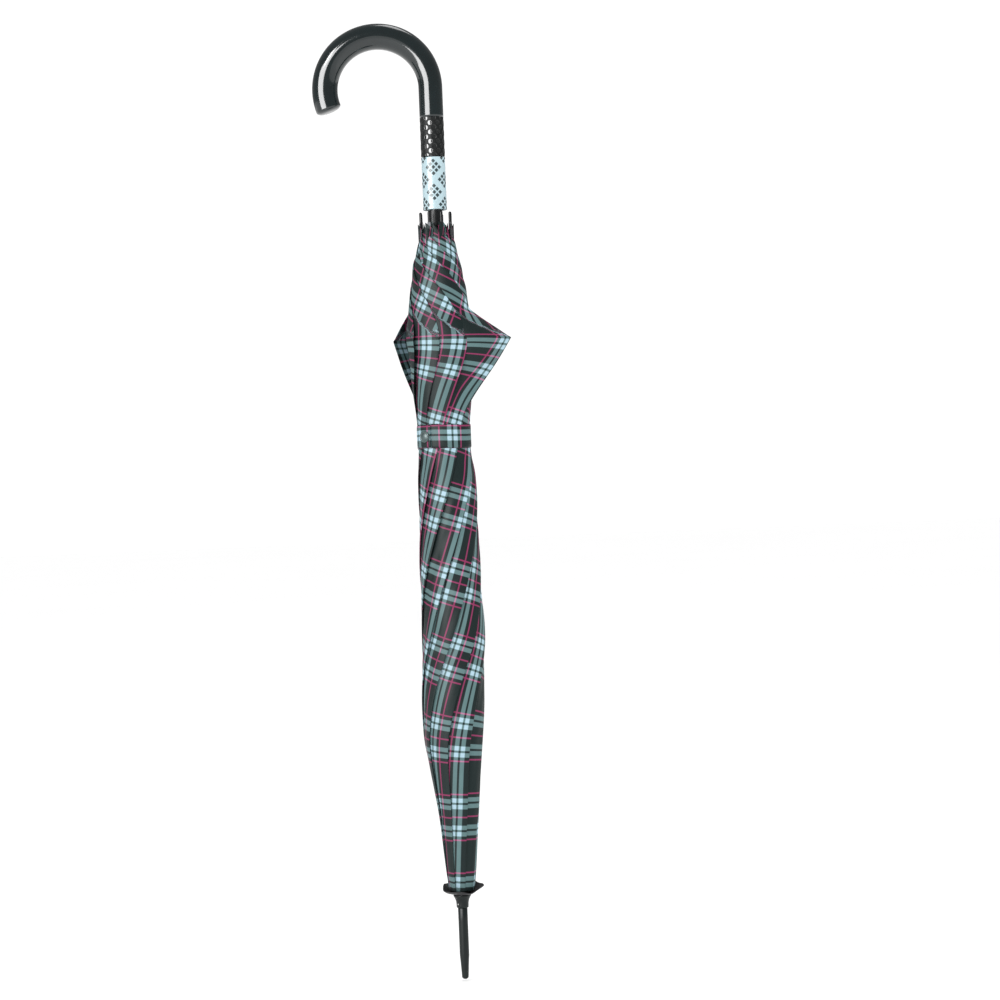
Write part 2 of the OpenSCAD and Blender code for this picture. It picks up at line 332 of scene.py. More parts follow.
def rosette_cloth(name):
    """Black coated cloth with a fine crimp."""
    n = Nodes(name)
    p = n.coords("Object")
    crimp = n.noise(p, 900.0, 2.0)
    tone = n.mix(n.noise(p, 160.0), rgb((0.006, 0.006, 0.007)), rgb((0.024, 0.024, 0.027)))
    rough = n.math("ADD", n.math("MULTIPLY", crimp, 0.25), 0.40)
    return n.set(Base_Color=tone, Roughness=rough, Normal=n.bump(crimp, 0.0002, 0.5), Sheen_Weight=0.05,
                 Specular_IOR_Level=0.25)


def crook_gloss(name, handle):
    """Near-black polished plastic with a faint green cast, handling haze and shallow moulding ripple."""
    n = Nodes(name)
    p = n.coords("Object")
    haze = n.noise(p, 55.0, 4.0)
    scuff = n.noise(p, 700.0, 2.0)
    tone = n.mix(haze, rgb(handle.crook_colour, 0.7), rgb(handle.crook_colour, 1.5))
    rough = n.math("ADD", n.math("MULTIPLY", haze, 0.10), n.math("MULTIPLY", scuff, 0.05))
    rough = n.math("ADD", rough, 0.08)
    normal = n.bump(n.noise(p, 38.0, 1.0), 0.0012, 0.35)
    return n.set(
        Base_Color=tone, Roughness=rough, Normal=normal, Coat_Weight=0.6, Coat_Roughness=0.05,
        Specular_IOR_Level=0.40
    )


def moulded_plastic(name, colour, low=0.3):
    """Moulded plastic with a fine grain and slight wear in the tone."""
    n = Nodes(name)
    p = n.coords("Object")
    grain = n.noise(p, 1500.0, 2.0)
    cloud = n.noise(p, 90.0)
    tone = n.mix(cloud, rgb(colour, 0.7), rgb(colour, 1.5))
    rough = n.math("ADD", n.math("MULTIPLY", cloud, 0.2), low)
    return n.set(Base_Color=tone, Roughness=rough, Normal=n.bump(grain, 0.00004, 0.4),
                 Specular_IOR_Level=0.25)


def drawn_metal(name, colour, metallic, low):
    """Drawn or plated metal: streaks run up the piece, and the finish is a little uneven."""
    n = Nodes(name)
    p = n.coords("Object")
    stretch = n.add("ShaderNodeMapping")
    n.feed(stretch.inputs["Vector"], p)
    stretch.inputs["Scale"].default_value = (1.0, 1.0, 0.03)
    streak = n.noise(stretch.outputs[0], 2600.0, 2.0)
    cloud = n.noise(p, 120.0)
    tone = n.mix(streak, rgb(colour, 0.75), rgb(colour, 1.3))
    rough = n.math("ADD", n.math("MULTIPLY", cloud, 0.2), low)
    return n.set(Base_Color=tone, Roughness=rough, Normal=n.bump(streak, 0.00002, 0.3), Metallic=metallic)


def net_plastic(name):
    """Black sleeve: a dull raised net, which is a shape of its own, round polished windows."""
    n = Nodes(name)
    x, y, _ = n.split(n.coords("UV"))
    turn = n.math("DIVIDE", x, TAU * STEM_R * MM / NET_TURNS)
    climb = n.math("DIVIDE", y, NET_PITCH * MM)
    crossings = (n.math(kind, turn, climb) for kind in ("ADD", "SUBTRACT"))
    off = [n.math("SUBTRACT", n.math("FRACT", c), 0.5) for c in crossings]
    far = n.math("SQRT", n.math("ADD", *(n.math("MULTIPLY", c, c) for c in off)))
    window = n.math("LESS_THAN", far, 0.36)
    p = n.coords("Object")
    grain = n.noise(p, 1800.0, 2.0)
    tone = n.mix(n.noise(p, 140.0), rgb((0.003, 0.004, 0.004)), rgb((0.010, 0.012, 0.012)))
    dull = n.math("ADD", n.math("MULTIPLY", grain, 0.10), 0.50)
    rough = n.math("SUBTRACT", dull, n.math("MULTIPLY", window, 0.45))
    shine = n.math("ADD", n.math("MULTIPLY", window, 0.75), 0.20)
    return n.set(Base_Color=tone, Roughness=rough, Normal=n.bump(grain, 0.00003, 0.3),
                 Specular_IOR_Level=shine)


def diamond(n, a, b, half):
    """1 inside a diamond of the lattice whose two slanting coordinates are a and b, 0 outside."""
    da = n.math("ABSOLUTE", n.math("SUBTRACT", n.math("FRACT", a), 0.5))
    db = n.math("ABSOLUTE", n.math("SUBTRACT", n.math("FRACT", b), 0.5))
    return n.math("LESS_THAN", n.math("MAXIMUM", da, db), half)


def printed_sleeve(name, handle):
    """Pale sleeve printed with clusters of small dark diamonds and a faint net, on its own UV map.

    One column of clusters faces -Y, with a cluster's middle a fifth of the way down the sleeve.
    """
    n = Nodes(name)
    x, y, _ = n.split(n.coords("UV"))
    around = TAU * STEM_R * MM
    small_x, small_y = around / 12, 5.6 * MM
    big_x, big_y = around / 3, 22.2 * MM
    x = n.math("SUBTRACT", x, 0.25 * big_x)
    y = n.math("SUBTRACT", y, (0.80 * PRINT_HIGH + 0.20 * PRINT_LOW) * MM)
    sx, sy = n.math("DIVIDE", x, small_x), n.math("ADD", n.math("DIVIDE", y, small_y), 0.5)
    bx, by = n.math("DIVIDE", x, big_x), n.math("ADD", n.math("DIVIDE", y, big_y), 0.5)
    dots = diamond(n, n.math("ADD", sx, sy), n.math("SUBTRACT", sx, sy), 0.35)
    cluster = diamond(n, n.math("ADD", bx, by), n.math("SUBTRACT", bx, by), 0.37)
    lines = n.math("SUBTRACT", 1.0, diamond(n, n.math("ADD", sx, sy), n.math("SUBTRACT", sx, sy), 0.46))
    marks = n.math("MULTIPLY", dots, cluster)
    p = n.coords("Object")
    ground = n.mix(n.noise(p, 120.0), rgb(handle.print_ground, 0.9), rgb(handle.print_ground, 1.05))
    ground = n.mix(n.math("MULTIPLY", lines, 0.18), ground, rgb((0.42, 0.55, 0.62)))
    colour = n.mix(marks, ground, rgb((0.03, 0.05, 0.055)))
    rough = n.math("ADD", n.math("MULTIPLY", n.noise(p, 300.0), 0.15), 0.25)
    height = n.math("SUBTRACT", 1.0, n.math("MAXIMUM", marks, n.math("MULTIPLY", lines, 0.6)))
    return n.set(Base_Color=colour, Roughness=rough, Normal=n.bump(height, 0.00012, 0.6), Coat_Weight=0.25)


# ---------------------------------------------------------------- the furled bundle


# The bundle's radius against height, and how far its middle strays towards +X
OUTLINE = np.array([
    [14, 10.4], [20, 11.9], [42, 14.2], [69, 16.4], [96, 19.6], [123, 23.0],
    [150, 26.4], [180, 27.6], [231, 28.2], [286, 27.4], [340, 26.4], [394, 25.6],
    [409, 23.2], [440, 23.2], [452, 25.2], [480, 27.5], [511, 29.6], [530, 28.6],
    [550, 26.6], [575, 24.4], [592, 21.8], [605, 19.4], [618, 17.4],
])
SWAY = np.array([
    [90, 0], [150, -2.4], [204, -0.6], [245, 1.6], [300, 0.6], [380, 1.2], [408, 0], [620, 0],
])
MEAN_R = 26  # the bundle's usual radius, which turns its twist into a slope of the cloth
BIAS = math.radians(28)  # slant of the plaid where the cloth wraps over above the corners
CORNER_FALL = 27  # height in which a loose corner falls back to the bundle
LOOSE_FROM = 440  # height where the corners start to stand out, at the strap's upper edge


def soft_interp(x, table):
    """The table's curve, averaged over 18 mm of height so that its corners are round."""
    spread = (-9, -6, -3, 0, 3, 6, 9)
    return sum(np.interp(x + d, table[:, 0], table[:, 1]) for d in spread) / len(spread)


def wrap_turn(z, bundle):
    """How far round the folds have turned at height z, in degrees, and 0 at the loose corners."""
    zs = np.linspace(0, 640, 641)
    slope = 360 / bundle.turn_length
    rate = slope * (0.18 + 0.82 * smoothstep(zs, 110, 230)) * (1 - smoothstep(zs, 470, 520))
    turned = np.concatenate([[0], np.cumsum((rate[1:] + rate[:-1]) / 2)])
    return np.interp(z, zs, turned) - np.interp(CORNER_Z, zs, turned)


def corner_reach(k, bundle):
    """How far the loose corner of fold k stands out from the shaft."""
    small = (0, 33.5, 32.0, 34.0, 0, 34.0, 31.5, 36.0)[k - 1]
    return bundle.reach_right if k == 1 else bundle.reach_left if k == 5 else small


def cloth_offset(k):
    """How far the plaid is shifted across fold k, in millimetres."""
    return (88, 10, 30, 52, 20, 64, 22, 44)[k - 1]


def fold_sheet(k, bundle):
    """Fold k of the furled canopy, a doubled flap that wraps part of the way round the bundle.

    u runs from the edge that lies under its neighbour to the free fold, and v from the rosette to
    the hem. The angle is the free fold's helix less (1 - u) of the flap's span, the radius is the
    bundle's outline plus a lift that grows with u, and a skin of half the thickness stands on each
    side, closing at the edges. The loose corner stands out in proportion to height up to the
    corner and falls to nothing 27 mm above it. Above the corner the hem climbs as (1 - u) to a
    power, and the outer layer stops in a step on a lower curve of the same kind. The plaid runs
    back from the free fold by the length of cloth at one height, which is the root of the arc
    squared plus the corner's stand-off squared, and is turned by a fixed bias past that step.
    """
    across, up = 50, 230
    u = 0.5 - 0.5 * np.cos(np.pi * np.linspace(0, 1, across))
    v = np.concatenate([[0, 0.0006, 0.002], np.linspace(0.005, 0.995, up), [0.998, 0.9994, 1]])
    u, v = u[None, :], v[:, None]
    low = PANEL_LOW - 15.5
    top = CORNER_Z + (PANEL_HIGH - CORNER_Z + 1.2 * math.sin(2.1 * k)) * (1 - u) ** 0.54
    z = low + (top - low) * v
    span = 84 + 112 * smoothstep(z, 440, 520)
    angle = np.radians(STEP * (k - 1) + wrap_turn(z, bundle) - (1 - u) * span)
    pinch = smoothstep(z, 398, 411) * (1 - smoothstep(z, 437, 450))
    slim = 0.45 + 0.55 * smoothstep(z, 20, 140)
    lift = (3.6 + 2.6 * smoothstep(z, 446, 520)) * (1 - 0.62 * pinch) * slim
    radius = soft_interp(z, OUTLINE) - 0.93 * lift + lift * u**1.2
    ease = np.sin(np.pi * u) ** 0.7 * (1 - 0.9 * pinch)
    taut = 0.5 + 0.7 * smoothstep(z, 120, 300)
    ripple = 0.34 * np.sin(TAU * (1.7 * u + z / 150 + 0.37 * k))
    ripple += 0.22 * np.sin(TAU * (3.6 * u - z / 83 + 0.61 * k))
    ripple += 0.12 * np.sin(TAU * (u * 2 + z / 31 + 0.2 * k))
    radius = radius + ripple * ease * taut
    rise = np.clip((z - LOOSE_FROM) / (CORNER_Z - LOOSE_FROM), 0, 1)
    loose = rise ** (1 + 0.5 * (1 - rise)) * (1 - np.clip((z - CORNER_Z) / CORNER_FALL, 0, 1))
    open_edge = np.clip((u - 0.66) / 0.34, 0, 1) ** 1.25
    stand = max(corner_reach(k, bundle) - 30.5, 0) * loose
    radius = radius + stand * open_edge
    side_close = np.sqrt(np.clip(1 - np.abs(2 * u - 1) ** 26, 0, 1))
    end_close = np.sqrt(np.clip(1 - np.abs(2 * v - 1) ** 400, 0, 1))
    skin = bundle.fold_thickness / MM / 2 * side_close * end_close
    front_hem = CORNER_Z + 1.0 + 92 * (1 - u) ** 1.15
    outer_layer = 1 - smoothstep(z, front_hem - 0.8, front_hem + 0.8)
    radius = radius + 0.8 * outer_layer * smoothstep(z, 500, 516)
    sway = soft_interp(z, SWAY)
    arc = np.radians((1 - u) * span) * (soft_interp(z, OUTLINE) + 0.5 * stand * open_edge)
    run = -np.hypot(arc, stand * (1 - open_edge))
    heights = np.linspace(0, 640, 641)
    lean = np.gradient(np.radians(wrap_turn(heights, bundle)), heights) * MEAN_R
    slant = np.arctan(np.interp(z, heights, lean))
    length = np.interp(z, heights, np.cumsum(np.sqrt(1 + lean**2)))
    past = smoothstep(z, front_hem, front_hem + 0.6) * smoothstep(z, 514, 517)
    above = z - CORNER_Z
    wrapped_x = run * math.cos(BIAS) - above * math.sin(BIAS) + 17
    wrapped_y = run * math.sin(BIAS) + above * math.cos(BIAS) + 60
    hanging_y = length + run * np.sin(slant) + bundle.plaid_shift
    cloth_x = (cloth_offset(k) + run * np.cos(slant) * (1 - past) + wrapped_x * past) * MM
    cloth_y = (hanging_y * (1 - past) + wrapped_y * past) * MM
    outer, under = (
        np.stack([r * np.cos(angle) + sway, r * np.sin(angle), z], -1)
        for r in (radius + skin, radius - skin)
    )
    points = np.concatenate([outer, under[:, ::-1]], 1)
    flat_uv = np.stack([cloth_x, cloth_y], -1)
    uv = np.concatenate([flat_uv, flat_uv[:, ::-1]], 1)
    rows, cols = points.shape[:2]
    return points.reshape(-1, 3), grid_quads(rows, cols, True), uv.reshape(-1, 2)


def joint_frame(name):
    """A hinge's place in millimetres and its axis, at rest."""
    j = JOINTS[name]
    return np.array(j["pos_m"]) / MM, np.array(j["axis"])


def gore_sheet(k):
    """Gore k at rest, pleated into a thin stack above its rib like a closed fan.

    A point has a distance p from the canopy's apex and a share w of the way from rib k to rib
    k + 1. At rest it lies at p along the rib, at stack height H * s(w) along the fan's axis, where
    s is the inverse of 3t^2 - 2t^3, and to one side and the other by turns by 0.4 of the width
    of one pleat. Its UVs lay it out flat, turned by (w - 0.5) times the fan's angle.
    """
    apex, axis = joint_frame(f"gore_spread_{k}")
    pivot, across = joint_frame(MASTER if k == 1 else f"rib_swing_{k}")
    elbow, _ = joint_frame(f"strut_swing_{k}")
    along = (elbow - pivot) / np.linalg.norm(elbow - pivot)
    side = np.cross(axis, along)
    fan = math.radians(JOINTS[f"gore_spread_{k}"]["range_deg"][1])
    pleats, rows, stack, share = 54, 150, 1.5, 0.80
    w = np.linspace(0, 1, pleats + 1)
    reach = RIB_LEN + 8.0
    hem = reach * math.cos(fan / 2) / np.cos((w - 0.5) * fan) * (1 - 0.07 * np.sin(np.pi * w))
    start = 9.2
    p = start + (hem - start)[None, :] * np.linspace(0, 1, rows)[:, None]
    level = stack * (0.5 - np.sin(np.arcsin(1 - 2 * w) / 3))
    turn = np.where(np.arange(pleats + 1) % 2 == 0, -1.0, 1.0)
    swing = share * fan / pleats / 2 * p * turn
    points = apex + p[..., None] * along + level[None, :, None] * axis + swing[..., None] * side
    theta = (w - 0.5) * fan
    cloth_x = (p * np.sin(theta) + swing * np.cos(theta)) * MM
    cloth_y = (p * np.cos(theta) - swing * np.sin(theta)) * MM
    area = float(np.sum(0.5 * (hem[1:] ** 2 + hem[:-1] ** 2) / 2 - 0.5 * start**2) * fan / pleats) * MM * MM
    quads = grid_quads(rows, pleats + 1, False)
    flat = (2 * reach * math.sin(fan / 2) * MM, reach * MM)
    uv = np.stack([cloth_x, cloth_y], -1).reshape(-1, 2)
    return points.reshape(-1, 3), quads, uv, apex, axis * stack, flat, area


# ---------------------------------------------------------------- settings


class ClothSettings(bpy.types.PropertyGroup):
    """The plaid cloth"""

    repeat: FloatProperty(name="Repeat", description="Repeat of the plaid, in millimetres", default=71.0)
    ground: FloatVectorProperty(name="Ground", description="Dark ground", subtype="COLOR", size=3,
                                default=(0.009, 0.019, 0.019))
    stripe: FloatVectorProperty(name="Stripe", description="Teal stripe", subtype="COLOR", size=3,
                                default=(0.115, 0.20, 0.205))
    crossing: FloatVectorProperty(name="Crossing", description="Where two teal stripes cross",
                                  subtype="COLOR", size=3, default=(0.42, 0.60, 0.70))
    pink: FloatVectorProperty(name="Pink", description="Fine pink line", subtype="COLOR", size=3,
                              default=(0.30, 0.035, 0.12))
    pink_over: FloatVectorProperty(name="Pink over teal", description="Pink line over teal",
                                   subtype="COLOR", size=3, default=(0.48, 0.20, 0.34))


class BundleSettings(bpy.types.PropertyGroup):
    """The furled canopy"""

    turn_length: FloatProperty(name="Turn length", description="Height of one turn of a fold, in mm",
                               default=500.0, min=300.0, max=900.0)
    fold_thickness: FloatProperty(name="Fold thickness", description="Thickness of a doubled fold",
                                  default=0.0010, unit="LENGTH")
    plaid_shift: FloatProperty(name="Plaid shift", description="Shift of the plaid up the bundle, in mm",
                               default=10.0)
    reach_right: FloatProperty(name="Right corner", description="Reach of the right loose corner, in mm",
                               default=64.0)
    reach_left: FloatProperty(name="Left corner", description="Reach of the left loose corner, in mm",
                              default=42.5)


class HandleSettings(bpy.types.PropertyGroup):
    """The crook and its sleeves"""

    crook_colour: FloatVectorProperty(name="Crook", description="Colour of the crook",
                                      subtype="COLOR", size=3, default=(0.004, 0.009, 0.010))
    print_ground: FloatVectorProperty(name="Print ground", description="Ground of the printed sleeve",
                                      subtype="COLOR", size=3, default=(0.45, 0.60, 0.65))
    bend_centre: FloatVectorProperty(name="Bend centre", description="Centre of the crook's bend",
                                     subtype="TRANSLATION", size=3, default=(-0.0475, 0.0, 0.7385))
    bend_angle: FloatProperty(name="Bend", description="How far round the crook goes", subtype="ANGLE",
                              default=math.radians(199.0))


class StageSettings(bpy.types.PropertyGroup):
    """Camera and light"""

    lens: FloatProperty(name="Lens", description="Focal length in millimetres", default=100.0)
    distance: FloatProperty(name="Distance", description="Camera to the shaft", default=2.5, unit="LENGTH")
    roll: FloatProperty(name="Roll", description="Turn of the camera about its view", subtype="ANGLE",
                        default=math.radians(-2.26))
    half_width: IntProperty(name="Floor half-width", description="Half the floor's width, in metres",
                            default=30)


# ---------------------------------------------------------------- operators


class UMBRELLA_OT_folds(bpy.types.Operator):
    """Make the eight folds of the furled canopy"""

    bl_idname = "umbrella.folds"
    bl_label = "Canopy folds"

    def execute(self, context):
        s = context.scene.umbrella_bundle
        cloth = plaid("plaid_cloth", context.scene.umbrella_cloth)
        for k in range(1, GORES + 1):
            points, quads, uv = fold_sheet(k, s)
            piece = put(f"canopy_fold_{k}", points, quads, cloth, uv=uv, weld=True)
            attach(piece, f"rib_arm_{k}")
            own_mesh(piece)
        return {"FINISHED"}


class UMBRELLA_OT_gores(bpy.types.Operator):
    """Make the eight gores that lie pleated between the ribs"""

    bl_idname = "umbrella.gores"
    bl_label = "Canopy gores"

    def execute(self, context):
        cloth = bpy.data.materials["plaid_cloth"]
        for k in range(1, GORES + 1):
            points, quads, uv, start, rise, flat, area = gore_sheet(k)
            piece = put(f"canopy_gore_{k}", points, quads, cloth, uv=uv)
            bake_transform(piece)
            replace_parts(piece, f"canopy_panel_{k}")
        return {"FINISHED"}


class UMBRELLA_OT_strap(bpy.types.Operator):
    """Make the strap round the bundle and its snap"""

    bl_idname = "umbrella.strap"
    bl_label = "Strap and snap"

    def execute(self, context):
        cloth = plaid("strap_plaid", context.scene.umbrella_cloth)
        rib = azimuth(STEP * 5.5)
        middle = (STRAP_LOW + STRAP_HIGH) / 2
        half = (STRAP_HIGH - STRAP_LOW) / 2 - 0.2
        along = np.linspace(0, 1, 220)
        loop = 396.0  # degrees from end to end, so the ends lap by 36
        angle = np.radians(SNAP_AZ + 14 - loop * (1 - along))
        height = np.linspace(-1, 1, 17)
        over = smoothstep(along, 0.83, 0.93)
        radius = 23.75 + 1.5 * over
        thick = 0.55
        rim = np.concatenate([height, height[::-1]])
        skin = np.concatenate([np.sqrt(1 - height**14), -np.sqrt(1 - height**14)]) * thick
        ends = np.sqrt(np.clip(1 - np.abs(2 * along - 1) ** 300, 0, 1))
        wave = 0.25 * np.sin(9 * angle)[:, None] * (rim**2)[None, :]
        r = radius[:, None] + skin[None, :] * ends[:, None] + wave
        drift = 0.5 * np.sin(2 * angle)[:, None]
        z = middle + rim[None, :] * half * (1 - 0.06 * over[:, None]) + drift
        points = np.stack([r * np.cos(angle)[:, None], r * np.sin(angle)[:, None], z], -1)
        points = points.reshape(-1, 3)
        mean_r = 24.3
        length = math.radians(loop) * mean_r * MM
        uv = np.stack(np.broadcast_arrays((rim * half * MM)[None, :] + 0.034, (along * length)[:, None]), -1)
        quads = grid_quads(len(along), len(rim), True)
        strap = put("strap_band", points, quads, cloth, uv=uv.reshape(-1, 2), weld=True)
        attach(strap, "rib_arm_7")
        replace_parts(strap, "strap")
        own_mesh(strap)
        self.snap(rib, middle)
        return {"FINISHED"}

    def snap(self, rib, middle):
        """The snap's cap: a rolled rim, a shallow step and a low dome, turned about its own axis."""
        paint = drawn_metal("snap_paint", (0.055, 0.085, 0.085), 0.2, 0.28)
        rim = [(0.0, 25.0), (4.0, 25.0), (4.9, 25.4), (5.25, 26.0), (5.2, 26.6), (4.9, 27.0), (4.4, 27.1)]
        dome = [(4.0, 26.9), (3.7, 26.8), (3.3, 27.1), (2.4, 27.5), (1.2, 27.75), (0.0, 27.8)]
        cap = lathe("snap_button", rim + dome, paint, around=72)
        place = Matrix.Translation((0, 0, middle * MM)) @ Matrix.Rotation(math.radians(SNAP_AZ), 4, "Z")
        cap.data.transform(place @ Matrix.Rotation(math.radians(90), 4, "Y"))
        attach(cap, "rib_arm_7")
        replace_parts(cap, "snap_cap", "snap_socket", "snap_stud", "snap_post")
        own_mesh(cap)


class UMBRELLA_OT_rosette(bpy.types.Operator):
    """Make the gathered rosette under the canopy"""

    bl_idname = "umbrella.rosette"
    bl_label = "Rosette"

    def execute(self, context):
        """Radius and height swell with low waves; the rim is high at the back and low in front."""

        def ruffle(a, r, z):
            free = smoothstep(r, 5.5, 19.0)
            tilt = 3.6 * np.sin(a) + 0.4 * np.cos(a)
            wave = tilt + 1.0 * np.sin(4 * a + 2.76) + 0.4 * np.sin(7 * a + 6.0)
            stretch = 1.0 * np.cos(a) + 0.6 * np.sin(3 * a + 2.2)
            return r + stretch * free, z + wave * free

        out = np.linspace(0, 1, 26)
        radius = 4.7 + 13.6 * out
        height = 11.9 + 7.0 * out**1.5
        skin = 0.28
        upper = list(zip(radius[::-1], (height + skin)[::-1]))
        lower = list(zip(radius, height - skin))
        profile = lower + [(18.55, 18.9)] + upper + [lower[0]]
        piece = lathe("rosette_cloth", profile, rosette_cloth("rosette_black"), around=220, wobble=ruffle)
        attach(piece, "shaft")
        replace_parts(piece, "rosette")
        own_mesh(piece)
        return {"FINISHED"}


class UMBRELLA_OT_ferrule(bpy.types.Operator):
    """Make the spike and the flared collar"""

    bl_idname = "umbrella.ferrule"
    bl_label = "Ferrule"

    def execute(self, context):
        black = moulded_plastic("ferrule_black", (0.005, 0.009, 0.009), 0.26)
        tip_r, reach = 3.05, 64.5
        turns = np.linspace(0, math.pi / 2, 9)
        end = [(tip_r * math.sin(t), -reach + 2.4 * (1 - math.cos(t))) for t in turns]
        taper = [(3.5, -54.0), (3.9, -47.5), (4.2, -44.2)]
        straight = [(4.3, -43.2), (4.3, -30.0), (4.3, -12.0), (4.3, -0.6), (4.0, -0.1), (0.0, -0.1)]
        piece = lathe("ferrule_spike", end + taper + straight, black)
        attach(piece, "shaft")
        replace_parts(piece, "ferrule")
        flare = [(4.6, 0.0), (5.1, 0.05), (5.45, 0.4), (5.5, 2.0), (5.6, 4.2), (5.9, 6.2), (6.6, 8.2)]
        lip = [(7.5, 9.9), (7.95, 10.7), (8.0, 11.1), (7.8, 11.45)]
        bore = [(4.6, 11.5), (4.6, 6.0), (4.6, 0.0)]
        collar = lathe("collar_moulding", flare + lip + bore, black)
        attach(collar, "shaft")
        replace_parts(collar, "ferrule_collar")
        return {"FINISHED"}


class UMBRELLA_OT_handle(bpy.types.Operator):
    """Make the crook, the net sleeve and the printed sleeve"""

    bl_idname = "umbrella.handle"
    bl_label = "Handle"

    def execute(self, context):
        s = context.scene.umbrella_handle
        self.crook(s)
        self.net()
        self.printed(s)
        return {"FINISHED"}

    def crook(self, s):
        """A round tube carried up the stem and round the bend; its end closes as a low ellipse."""
        centre = np.array(s.bend_centre) / MM
        bend_r = -centre[0]
        stem = np.linspace(NET_HIGH, centre[2], 14)[:-1]
        bend = np.linspace(0, s.bend_angle, 150)
        spine = [(0.0, z, 0.0, 0.0) for z in stem]
        spine += [(centre[0] + bend_r * math.cos(b), centre[2] + bend_r * math.sin(b), b, 0.0) for b in bend]
        dome = np.linspace(0, math.pi / 2, 16)[1:]
        end_x, end_z, end_b, _ = spine[-1]
        for d in dome:
            rise = 3.8 * math.sin(d)
            spine.append((end_x - rise * math.sin(end_b), end_z + rise * math.cos(end_b), end_b, d))
        x, z, b, d = (np.array(c)[:, None] for c in zip(*spine))
        grow = smoothstep(b, 0.0, 1.3)
        radius = (STEM_R + 0.95 * grow - 0.25 * smoothstep(b, 2.2, 3.4)) * np.cos(d) ** 0.62
        a = (np.arange(96) * 2 * np.pi / 96)[None, :]
        px = x + radius * np.cos(a) * np.cos(b)
        pz = z + radius * np.cos(a) * np.sin(b)
        py = radius * np.sin(a)
        tube = np.stack([px, py * np.ones_like(px), pz], -1)
        base = []
        for r in (4.6, STEM_R - 0.7, STEM_R - 0.25):
            low = NET_HIGH + (0.25 if r < STEM_R - 0.3 else 0.1)
            base.append(np.stack([r * np.cos(a), r * np.sin(a), np.full_like(a, low)], -1))
        points = np.concatenate(base + [tube], 0)
        rows = points.shape[0]
        gloss = crook_gloss("crook_gloss", s)
        piece = put("crook_handle", points.reshape(-1, 3), grid_quads(rows, 96, True), gloss, weld=True)
        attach(piece, "shaft")
        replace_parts(piece, "handle_crook")

    def net(self):
        """A raised diamond net: the radius drops near the middle of each cell."""
        around, up = 432, 200
        a = np.arange(around + 1) * 2 * np.pi / around
        t = np.linspace(0, 1, up)
        z = NET_LOW + (NET_HIGH - NET_LOW) * t
        p = NET_TURNS * a[None, :] / (2 * np.pi) + z[:, None] / NET_PITCH
        q = NET_TURNS * a[None, :] / (2 * np.pi) - z[:, None] / NET_PITCH
        wall = smoothstep(np.hypot(p % 1 - 0.5, q % 1 - 0.5), 0.35, 0.43)
        r = STEM_R - 0.40 + 0.42 * wall
        self.sleeve("net_sleeve", r, a, z, net_plastic("net_black"), "net_sleeve", "handle_net_sleeve")

    def printed(self, s):
        """A smooth sleeve with a rolled lip at each end."""
        around, up = 160, 90
        a = np.arange(around + 1) * 2 * np.pi / around
        t = np.linspace(0, 1, up)
        z = PRINT_LOW + (PRINT_HIGH - PRINT_LOW) * t
        lip = np.exp(-((t - 0.012) / 0.012) ** 2) + np.exp(-((t - 0.988) / 0.012) ** 2)
        r = (STEM_R - 0.12 + 0.22 * lip)[:, None] * np.ones(around + 1)
        paper = printed_sleeve("printed_pale", s)
        self.sleeve("printed_sleeve", r, a, z, paper, "print_sleeve", "handle_print_sleeve")

    def sleeve(self, name, r, a, z, material, slot, node):
        """An outer skin, its two end faces and an inner wall, closed round the stem."""
        inner = STEM_R - 1.1
        wall = np.full((1, r.shape[1]), inner)
        radius = np.concatenate([wall, r, wall, wall], 0)
        height = np.concatenate([[z[0]], z, [z[-1]], [z[0]]])[:, None] * np.ones_like(radius)
        points = np.stack([radius * np.cos(a), radius * np.sin(a), height], -1).reshape(-1, 3)
        uv = np.stack([np.broadcast_to(a * STEM_R * MM, radius.shape), height * MM], -1).reshape(-1, 2)
        quads = grid_quads(len(radius), r.shape[1], False)
        piece = put(name, points, quads, material, uv=uv, weld=True)
        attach(piece, "shaft")
        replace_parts(piece, node)


class UMBRELLA_OT_finishes(bpy.types.Operator):
    """Give the frame's own pieces their finishes"""

    bl_idname = "umbrella.finishes"
    bl_label = "Frame finishes"

    def execute(self, context):
        steel = drawn_metal("lacquered_steel", (0.022, 0.024, 0.027), 0.6, 0.25)
        bright = drawn_metal("bright_nickel", (0.62, 0.62, 0.60), 1.0, 0.18)
        black = moulded_plastic("fitting_black", (0.007, 0.008, 0.009), 0.24)
        tube = drawn_metal("tube_steel", (0.16, 0.165, 0.17), 0.9, 0.22)
        by_slot = {"frame_steel": steel, "bright_wire": bright, "black_plastic": black}
        replaced = {n for o in bpy.context.scene.objects for n in o.get("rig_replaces", [])}
        for row in frame["record"]["subparts"]:
            node = row["node"]
            if node in replaced:
                continue
            finish = tube if node == "shaft_tube" else by_slot[row["material_slot"]]
            mesh = frame["nodes"][node].data
            mesh.materials.clear()
            mesh.materials.append(finish)
        return {"FINISHED"}


